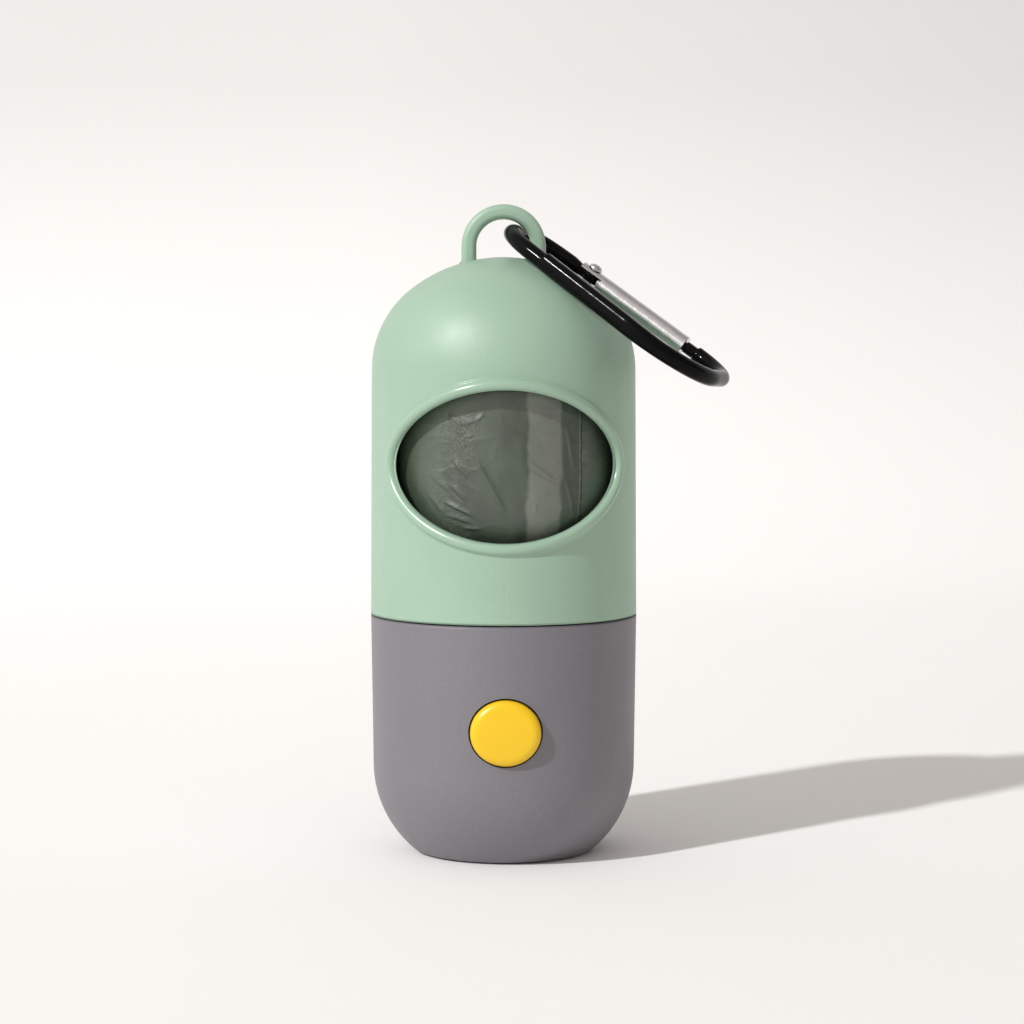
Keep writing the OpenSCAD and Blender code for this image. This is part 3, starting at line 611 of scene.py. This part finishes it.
# Radius of the outer film at an angle from the front and a height: tight at the roll's ends, loose and
# bulged behind the window, and a step lower past the tear
def filmRadius(side, z, settings):
    tight, wide = settings["tightRadius"], settings["looseRadius"]
    fromMiddle = (z - settings["looseMiddle"]) / settings["looseHalf"]
    loose = max(0.0, 1 - fromMiddle ** 4)
    base = tight + (wide - tight) * loose
    fromTear = (side - math.radians(settings["tearAngle"])) * wide
    share = settings["tightFolds"] + (1 - settings["tightFolds"]) * loose
    depth = filmDepth(side * wide, z, fromTear, filmRelief) * share
    under = max(0.0, min(1.0, fromTear / settings["tearLip"]))
    under *= max(0.0, 1 - fromTear / settings["tearFade"])
    r = base - settings["setBack"] + depth - settings["tearStep"] * under * loose
    edge = min(z - settings["low"], settings["high"] - z)
    rounding = settings["edgeRound"] * max(0.0, 1 - edge / settings["edgeHeight"]) ** 2
    return min(r, base + settings["proud"]) - rounding


# Heights of the film's rings, close together behind the window
def rollHeights(settings):
    heights = [settings["low"]]
    while heights[-1] < settings["high"]:
        z = heights[-1]
        close = settings["closeLow"] < z < settings["closeHigh"]
        heights.append(min(settings["high"], z + settings["closeStep" if close else "wideStep"]))
    return heights


# Angles round the roll, close together at its front
def rollAngles(settings):
    front = math.radians(settings["closeAngle"])
    frontSteps, backSteps = settings["frontSteps"], settings["backSteps"]
    angles = [-front + 2 * front * i / frontSteps for i in range(frontSteps + 1)]
    return angles + [front + 2 * (math.pi - front) * i / backSteps for i in range(1, backSteps)]


# Wound edges of the film at one end of the roll, ring by ring from the outer film in to the core
def windEnd(mesh, outer, angles, z, up, settings):
    inner = settings["coreRadius"]
    outside = settings["tightRadius"] - settings["endInset"]
    layers = settings["endLayers"]
    last = outer
    for n in range(1, layers + 1):
        r = outside + (inner - outside) * n / layers
        sink = settings["layerSink"] if n % 2 else 0.0
        sink += settings["layerRough"] * noise.noise(Vector((n * 0.7, 0, z * 50)))
        level = z - sink if up else z + sink
        ring = []
        for angle in angles:
            sine, cosine = math.sin(angle), math.cos(angle)
            wobble = settings["layerWobble"] * noise.noise(Vector((sine * 2, cosine * 2, n * 0.9)))
            radius = r if n == layers else r + wobble
            ring.append(mesh.verts.new((radius * sine, -radius * cosine, level)))
        if up:
            bridge(mesh, last, ring)
        else:
            bridge(mesh, ring, last)
        last = ring
    return last


def makeFilmRoll(settings):
    mesh = bmesh.new()
    angles = rollAngles(settings)
    heights = rollHeights(settings)
    rings = []
    for z in heights:
        ring = []
        for angle in angles:
            side = math.atan2(math.sin(angle), math.cos(angle))
            r = filmRadius(side, z, settings)
            ring.append(mesh.verts.new((r * math.sin(side), -r * math.cos(side), z)))
        rings.append(ring)
    for lower, upper in zip(rings, rings[1:]):
        bridge(mesh, lower, upper)
    lowHole = windEnd(mesh, rings[0], angles, heights[0], False, settings)
    highHole = windEnd(mesh, rings[-1], angles, heights[-1], True, settings)
    bridge(mesh, highHole, lowHole)
    return linkMesh("filmRoll", mesh)


# Places round the roll are in radians, from the front or, for the slits and the pale edge, from the tear
filmLook = {
    "dark": (0.028, 0.044, 0.027, 1),
    "light": (0.06, 0.084, 0.054, 1),
    "band": (0.19, 0.208, 0.174, 1),
    "slit": (0.004, 0.004, 0.004, 1),
    "paintedLightPastTear": (0.12, 0.145, 0.11, 1),
    "bandPlace": ((0.17, 0.2), (0.46, 0.49)),
    "slitPlace": ((-0.021, -0.018), (-0.001, 0)),
    "palePlace": ((-0.036, -0.026), (-0.021, -0.018)),
    "glossPlace": ((-0.64, -0.44), (-0.34, -0.14)),
    "glossTop": (0.0745, 0.077),
    "slitsPerMetre": 520.0,
    "slitGap": (0.22, 0.3),
    "paleShare": 0.5,
    "paintedLightShare": 0.5,
    "roughness": (0.36, 0.5),
    "glossier": 0.17,
}


# Thin bag film, dull green, with a greyer doubled band, a glossier crinkled stretch, slits at the tear and
# painted light on the film past the tear
def bagFilm(name, look, settings):
    finish = Finish(name, {"Specular IOR Level": 1.0})
    at = finish.place()
    px, py, pz = finish.split(at)
    turn = finish.maths("ARCTAN2", px, py * -1.0)
    fromTear = turn - math.radians(settings["tearAngle"])
    wide = finish.cloud(finish.stretch(at, (1, 1, 0.45)), 110, 3, 0.55, 0.4)
    edgeNoise = finish.cloud(finish.stretch(at, (1, 1, 0.6)), 260, 3, 0.6)
    crinkle = finish.cloud(finish.stretch(at, (1, 1, 0.7)), 900, 5, 0.72, 1.6)
    fine = finish.cloud(at, 5200, 3, 0.65)
    wavering = turn + (edgeNoise - 0.5) * 0.1
    band = finish.between(wavering, *look["bandPlace"]) * finish.span(wide, 0.3, 0.7, 0.55, 1.0)
    dash = finish.maths("FRACT", pz * look["slitsPerMetre"] + edgeNoise * 0.5)
    slit = finish.between(fromTear, *look["slitPlace"]) * finish.span(dash, *look["slitGap"], 0, 1)
    pale = finish.between(fromTear, *look["palePlace"])
    # Painted light: past the tear the film is lightened in the colour, where it turns away from the light
    paintedLightPastTear = finish.span(fromTear, 0, 0.02, 0, 1)
    gloss = finish.between(turn, *look["glossPlace"]) * finish.span(wide, 0.38, 0.58, 0.1, 1)
    gloss = gloss * finish.span(pz, *look["glossTop"], 1, 0)
    plain = finish.blendColour(finish.span(wide, 0.36, 0.66, 0, 1), look["dark"], look["light"])
    banded = finish.blendColour(band, plain, look["band"])
    turned = finish.blendColour(paintedLightPastTear * look["paintedLightShare"], banded, look["paintedLightPastTear"])
    edged = finish.blendColour(pale * look["paleShare"], turned, look["band"])
    colourWire = finish.blendColour(slit, edged, look["slit"])
    rough = finish.span(crinkle, 0.3, 0.7, *look["roughness"]) - gloss * look["glossier"]
    folds = finish.bump(crinkle * (gloss * 0.9 + 0.3), 0.00025, 0.75)
    skin = finish.bump(fine * (gloss * 1.5 + 0.25), 0.00009, 0.9, folds)
    return finish.drive(colour=colourWire, roughness=rough, normal=skin)


filmRoll = makeFilmRoll(rollSettings)
filmRoll.data.materials.append(bagFilm("bagFilm", filmLook, rollSettings))
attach(filmRoll, "roll")
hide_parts("bag_roll")
print("film roll ready")

# The foot is where the bead runs out onto the wall: how far past the tube and how high, from the
# outside in. The hem closes the section on the window's side: outwards and towards the front.
beadSettings = {
    "windowZ": 0.0675,
    "halfWidth": 0.0192,
    "halfHeight": 0.0136,
    "wallRadius": 0.02284,
    "tube": 0.00097,
    "steps": 240,
    "foot": ((0.00046, -0.0002), (0.00044, 0.00003), (0.00036, 0.0001), (0.00024, 0.00009),
             (0.00008, 0.00012)),
    "roundStart": 9,
    "roundEnd": 146,
    "roundSteps": 24,
    "hem": ((-0.00079, 0.00036), (-0.00078, 0.00024), (-0.00088, 0.0002), (-0.0009, 0.0001),
            (-0.0009, -0.0017)),
}


# Section of the bead in the plane across its path: outwards, and towards the front
def beadSection(settings, foot):
    tube, steps = settings["tube"], settings["roundSteps"]
    sine, cosine = math.sin(foot), math.cos(foot)
    section = []
    for extra, lift in settings["foot"]:
        r = tube + extra
        section.append((r * cosine - lift * sine, r * sine + lift * cosine))
    start = math.degrees(foot) + settings["roundStart"]
    for i in range(steps + 1):
        t = math.radians(start + (settings["roundEnd"] - start) * i / steps)
        section.append((tube * math.cos(t), tube * math.sin(t)))
    return section + list(settings["hem"])


def makeBead(settings):
    mesh = bmesh.new()
    wall = settings["wallRadius"]
    a, b = settings["halfWidth"], settings["halfHeight"]
    rings = []
    for i in range(settings["steps"]):
        t = 2 * math.pi * i / settings["steps"]
        x, z = a * math.cos(t), settings["windowZ"] + b * math.sin(t)
        y = -math.sqrt(wall * wall - x * x)
        out = Vector((x / wall, y / wall, 0))
        along = Vector((-a * math.sin(t), a * math.cos(t) * a * math.sin(t) / y, b * math.cos(t)))
        away = Vector((b * math.cos(t), 0, a * math.sin(t))).normalized()
        front = along.cross(away).normalized()
        if front.y > 0:
            front = -front
        foot = math.atan2(out.dot(front), out.dot(away)) - math.pi / 2
        centre = Vector((x, y, z))
        section = beadSection(settings, foot)
        rings.append([mesh.verts.new(centre + away * aside + front * up) for aside, up in section])
    for i, ring in enumerate(rings):
        following = rings[(i + 1) % len(rings)]
        for j in range(len(ring) - 1):
            mesh.faces.new((ring[j], following[j], following[j + 1], ring[j + 1]))
    bmesh.ops.recalc_face_normals(mesh, faces=mesh.faces)
    return linkMesh("windowBead", mesh)


windowBead = makeBead(beadSettings)
windowBead.data.materials.append(polishedGreen)
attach(windowBead, "upper")
print("window bead ready")

buttonSettings = {
    "height": 0.0234,
    "radius": 0.0059,
    "squash": 0.9322,
    "roundWidth": 0.0017,
    "roundDepth": 0.0012,
    "crownRadius": 0.06,
    "skirtBack": -0.01928,
    "flangeRadius": 0.0074,
    "flangeHalf": 0.0024,
    "flangeBack": -0.01828,
    "bossRadius": 0.0022,
    "faceSteps": 12,
    "roundSteps": 16,
    "steps": 96,
}


# Radii from the middle of the face out to the skirt, with their depths behind the middle of the face
def buttonProfile(settings, skirtDepth):
    flat = settings["radius"] - settings["roundWidth"]
    faceSteps, roundSteps = settings["faceSteps"], settings["roundSteps"]
    profile = []
    for i in range(1, faceSteps + 1):
        r = flat * i / faceSteps
        profile.append((r, r * r / (2 * settings["crownRadius"])))
    crown = profile[-1][1]
    for i in range(1, roundSteps + 1):
        a = math.radians(90 * i / roundSteps)
        r = flat + settings["roundWidth"] * math.sin(a)
        profile.append((r, crown + settings["roundDepth"] * (1 - math.cos(a))))
    profile.append((settings["radius"], skirtDepth))
    return profile


def makeButton(settings):
    mesh = bmesh.new()
    steps = settings["steps"]
    low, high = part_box("button_cap")
    face, back = low[1], high[1]

    def ring(r, y, squash=1, flat=None):
        made = []
        for i in range(steps):
            t = 2 * math.pi * i / steps
            up = r * math.sin(t) * squash
            if flat:
                up = max(-flat, min(flat, up))
            made.append(mesh.verts.new((r * math.cos(t), y, settings["height"] + up)))
        return made

    middle = mesh.verts.new((0, face, settings["height"]))
    profile = buttonProfile(settings, settings["skirtBack"] - face)
    rings = [ring(r, face + depth, settings["squash"]) for r, depth in profile]
    for y in (settings["skirtBack"], settings["flangeBack"]):
        rings.append(ring(settings["flangeRadius"], y, flat=settings["flangeHalf"]))
    for y in (settings["flangeBack"], back):
        rings.append(ring(settings["bossRadius"], y))
    for i in range(steps):
        mesh.faces.new((middle, rings[0][i], rings[0][(i + 1) % steps]))
    for first, second in zip(rings, rings[1:]):
        bridge(mesh, first, second)
    mesh.faces.new(rings[-1])
    bmesh.ops.recalc_face_normals(mesh, faces=mesh.faces)
    return linkMesh("buttonPiece", mesh)


buttonPiece = makeButton(buttonSettings)
buttonPiece.data.materials.append(yellowPlastic)
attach(buttonPiece, "button")
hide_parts("button_cap")
print("button ready")


# Middle line of the bar, from its hinge flat round to its nose: point, direction, stretch and way along it
def barPath(settings):
    length, half = settings["length"], settings["half"]
    hinge, spineHinge = settings["hingeBend"], settings["spineHingeBend"]
    wide, gate = settings["spineBend"], settings["gateBend"]
    slope = math.radians(settings["spineSlope"])
    sine, cosine = math.sin(slope), math.cos(slope)
    mouthY = wide - half
    hingeY = mouthY - ((wide - spineHinge) - sine * (length - spineHinge - wide)) / cosine
    spineX = spineHinge * (1 - sine)
    spineLength = (length - wide * (1 + sine) - spineX) / cosine
    path = []

    def run(name, start, end, step):
        start, end = Vector(start), Vector(end)
        count = max(2, int((end - start).length / step))
        for i in range(count):
            at = start.lerp(end, i / count)
            path.append((at, (end - start).normalized(), name, (at - start).length))

    def bend(name, centre, radius, first, last, step=0.4):
        count = max(4, int(abs(last - first) * radius / step))
        turn = 1 if last > first else -1
        for i in range(count):
            a = first + (last - first) * i / count
            at = Vector((centre[0] + radius * math.cos(a), centre[1] + radius * math.sin(a)))
            direction = Vector((-math.sin(a), math.cos(a))) * turn
            path.append((at, direction, name, abs(a - first) * radius))

    right = math.pi / 2
    run("flat", (settings["rivetX"] + settings["tangRadius"], half), (hinge, half), 0.14)
    bend("hinge", (hinge, half - hinge), hinge, right, 2 * right)
    run("top", (0, half - hinge), (0, hingeY), 0.5)
    bend("spineHinge", (spineHinge, hingeY), spineHinge, math.pi, 3 * right - slope)
    first = (spineX, hingeY - spineHinge * cosine)
    last = (spineX + spineLength * cosine, first[1] - spineLength * sine)
    run("spine", first, last, 0.2)
    bend("wide", (length - wide, mouthY), wide, 3 * right - slope, 4 * right)
    run("mouth", (length, mouthY), (length, half - gate), 0.5)
    bend("gate", (length - gate, half - gate), gate, 0, right)
    run("nose", (length - gate, half), (settings["noseTip"], half), 0.1)
    path.append((Vector((settings["noseTip"], half)), Vector((-1, 0)), "nose", 0.0))
    return path


# A section of the bar is its half width across, its half thickness inside and outside, and its squareness:
# 2 is round, and 6 is almost square. This one is the flat tang, which swells into the bar past its rivet.
def tangSection(pastRivet, settings):
    bar, flat, half = settings["bar"], settings["flatHalf"], settings["tangHalf"]
    if pastRivet < settings["tangRound"]:
        return math.sqrt(max(0.01, settings["tangRadius"] ** 2 - pastRivet ** 2)), flat, flat, 6
    if pastRivet < settings["tangEnd"]:
        return half, flat, flat, 6
    mix = min(1.0, (pastRivet - settings["tangEnd"]) / settings["tangBlend"]) ** 0.7
    start = flat + settings["tangStep"]
    thick = start + (bar - start) * mix
    return half + (bar - half) * mix, thick, thick, 3.2 - 1.2 * mix


# Section of the nose, which narrows to a neck and a flat stem with a wider head that the gate's slot holds
def noseSection(x, settings):
    bar, flat = settings["bar"], settings["flatHalf"]
    if x > settings["neckStep"]:
        return bar, bar, bar, 2.0
    if x > settings["neckStep"] - settings["neckRim"]:
        return bar, bar, bar, 2.2
    if x > settings["neckEnd"]:
        return settings["neckWide"], settings["neckThick"], settings["neckThick"], 2.6
    head = x < settings["noseTip"] + settings["noseHead"]
    return settings["noseHalf" if head else "stemHalf"], flat, flat, 6


# Section at a place on the bar's path; the spine is pressed wider and thicker on its outer side
def barSection(place, settings):
    at, _, name, along = place
    bar = settings["bar"]
    if name == "flat":
        return tangSection(settings["rivetX"] - at.x, settings)
    if name == "nose":
        return noseSection(at.x, settings)
    pressed = 0.0
    if name == "spine" and along > settings["pressFrom"]:
        pressed = min(1.0, 0.7 + (along - settings["pressFrom"]) / 0.5)
    if name == "wide":
        pressed = max(0.0, 1 - along / settings["pressFade"])
    slim = name in ("spineHinge", "top") or (name == "spine" and not pressed)
    thin = settings["thinner"] if slim else 0.0
    outer = bar + (settings["pressThick"] - bar) * pressed - thin
    across = bar + (settings["pressWide"] - bar) * pressed - thin
    return across, bar - thin, outer, 2 + 0.9 * pressed


def makeClipBar(settings):
    mesh = bmesh.new()
    frameMatrix = clipFrame(settings)
    sides = 48
    rings = []
    for place in barPath(settings):
        at, direction = place[:2]
        across = Vector((-direction.y, direction.x, 0))
        wide, inner, outer, square = barSection(place, settings)
        ring = []
        for k in range(sides):
            angle = 2 * math.pi * k / sides
            cosine, sine = math.cos(angle), math.sin(angle)
            power = 2 / square if sine >= 0 or square > 3 else 1.0
            aside = wide * math.copysign(abs(cosine) ** power, cosine)
            out = (outer if sine >= 0 else inner) * math.copysign(abs(sine) ** power, sine)
            ring.append(mesh.verts.new(frameMatrix @ (at.to_3d() + across * aside + Vector((0, 0, out)))))
        rings.append(ring)
    for first, second in zip(rings, rings[1:]):
        bridge(mesh, first, second)
    mesh.faces.new(rings[0])
    mesh.faces.new(rings[-1])
    bmesh.ops.recalc_face_normals(mesh, faces=mesh.faces)
    made = linkMesh("carabinerBar", mesh)
    sharpen(made, 38)
    return made


clipBar = makeClipBar(clipSettings)
clipBar.data.materials.append(blackCoat)
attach(clipBar, "carabiner")
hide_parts("carabiner_frame")
print("carabiner bar ready")

stageSettings = {
    "halfWidth": 3.0,
    "front": -1.6,
    "bendStart": 0.42,
    "bendRadius": 0.35,
    "bendSteps": 24,
    "height": 2.2,
    "colour": (0.95, 0.945, 0.935),
    "rightSpan": (-0.05, 0.25),
    "rightShade": 0.865,
    "wallSpan": (0.0, 0.2),
    "wallShade": 0.775,
}


# Matt paper with painted shade, a little darker to the right and up the wall
def paperFinish(settings):
    finish = Finish("sweepPaper", {"Roughness": 0.85, "Specular IOR Level": 0.1})
    at = finish.place()
    px, _, pz = finish.split(at)
    colourWire = finish.drift(finish.cloud(at, 9, 3, 0.5), settings["colour"], 0.99, reach=0.2)
    for value, span, shade in ((px, "rightSpan", "rightShade"), (pz, "wallSpan", "wallShade")):
        amount = finish.span(value, *settings[span], 0, 1)
        colourWire = finish.blendColour(amount, colourWire, opaque((1, 1, 1), settings[shade]), "MULTIPLY")
    return finish.drive(colour=colourWire)


# Floor that bends up into a wall far behind the object
def makeStage(settings):
    radius, steps = settings["bendRadius"], settings["bendSteps"]
    profile = [(settings["front"], 0.0)]
    for i in range(steps + 1):
        a = math.radians(90 * i / steps)
        profile.append((settings["bendStart"] + radius * math.sin(a), radius * (1 - math.cos(a))))
    profile.append((settings["bendStart"] + radius, settings["height"]))
    half = settings["halfWidth"]
    verts = [(x, y, z) for y, z in profile for x in (-half, half)]
    faces = [(2 * i, 2 * i + 1, 2 * i + 3, 2 * i + 2) for i in range(len(profile) - 1)]
    data = bpy.data.meshes.new("sweep")
    data.from_pydata(verts, [], faces)
    data.materials.append(paperFinish(settings))
    linkSmooth("sweep", data)


lightSettings = {
    "travel": (0.755, 0.672, -0.75),
    "sunStrength": 2.45,
    "sunAngle": 2.6,
    "sunColour": (0.99, 0.995, 1.0),
    "skyColour": (1.0, 0.93, 0.885, 1),
    "ambient": 0.245,
    "skyLobe": 0.37,
    "skyToward": (-0.25, -0.72, 0.65),
    "leftGlow": 0.9,
    "leftToward": (-0.9, -0.3, 0.3),
}


# Soft light from the front and above, with a bright left side that only shows in reflections
def makeWorld(settings):
    world = bpy.data.worlds.new("studio")
    world.use_nodes = True
    graph = Graph(world.node_tree)
    direction = graph.place("Generated")
    lobe = graph.maths("MAXIMUM", graph.facing(direction, settings["skyToward"]), 0)
    left = graph.maths("MAXIMUM", graph.facing(direction, settings["leftToward"]), 0)
    glossy = graph.node("ShaderNodeLightPath", out="Is Glossy Ray")
    glow = left * left * glossy * settings["leftGlow"]
    strength = lobe * settings["skyLobe"] + settings["ambient"] + glow
    graph.plug(graph.tree.nodes["Background"], {"Color": settings["skyColour"], "Strength": strength})
    bpy.context.scene.world = world


def makeKeyLight(settings):
    data = bpy.data.lights.new("keyLight", "SUN")
    data.energy = settings["sunStrength"]
    data.angle = math.radians(settings["sunAngle"])
    data.color = settings["sunColour"]
    key = bpy.data.objects.new("keyLight", data)
    key.rotation_mode = "QUATERNION"
    key.rotation_quaternion = Vector(settings["travel"]).to_track_quat("-Z", "Y")
    bpy.context.scene.collection.objects.link(key)


makeWorld(lightSettings)
makeStage(stageSettings)
makeKeyLight(lightSettings)
bpy.context.scene.view_settings.view_transform = "Standard"
print("stage and lights ready")
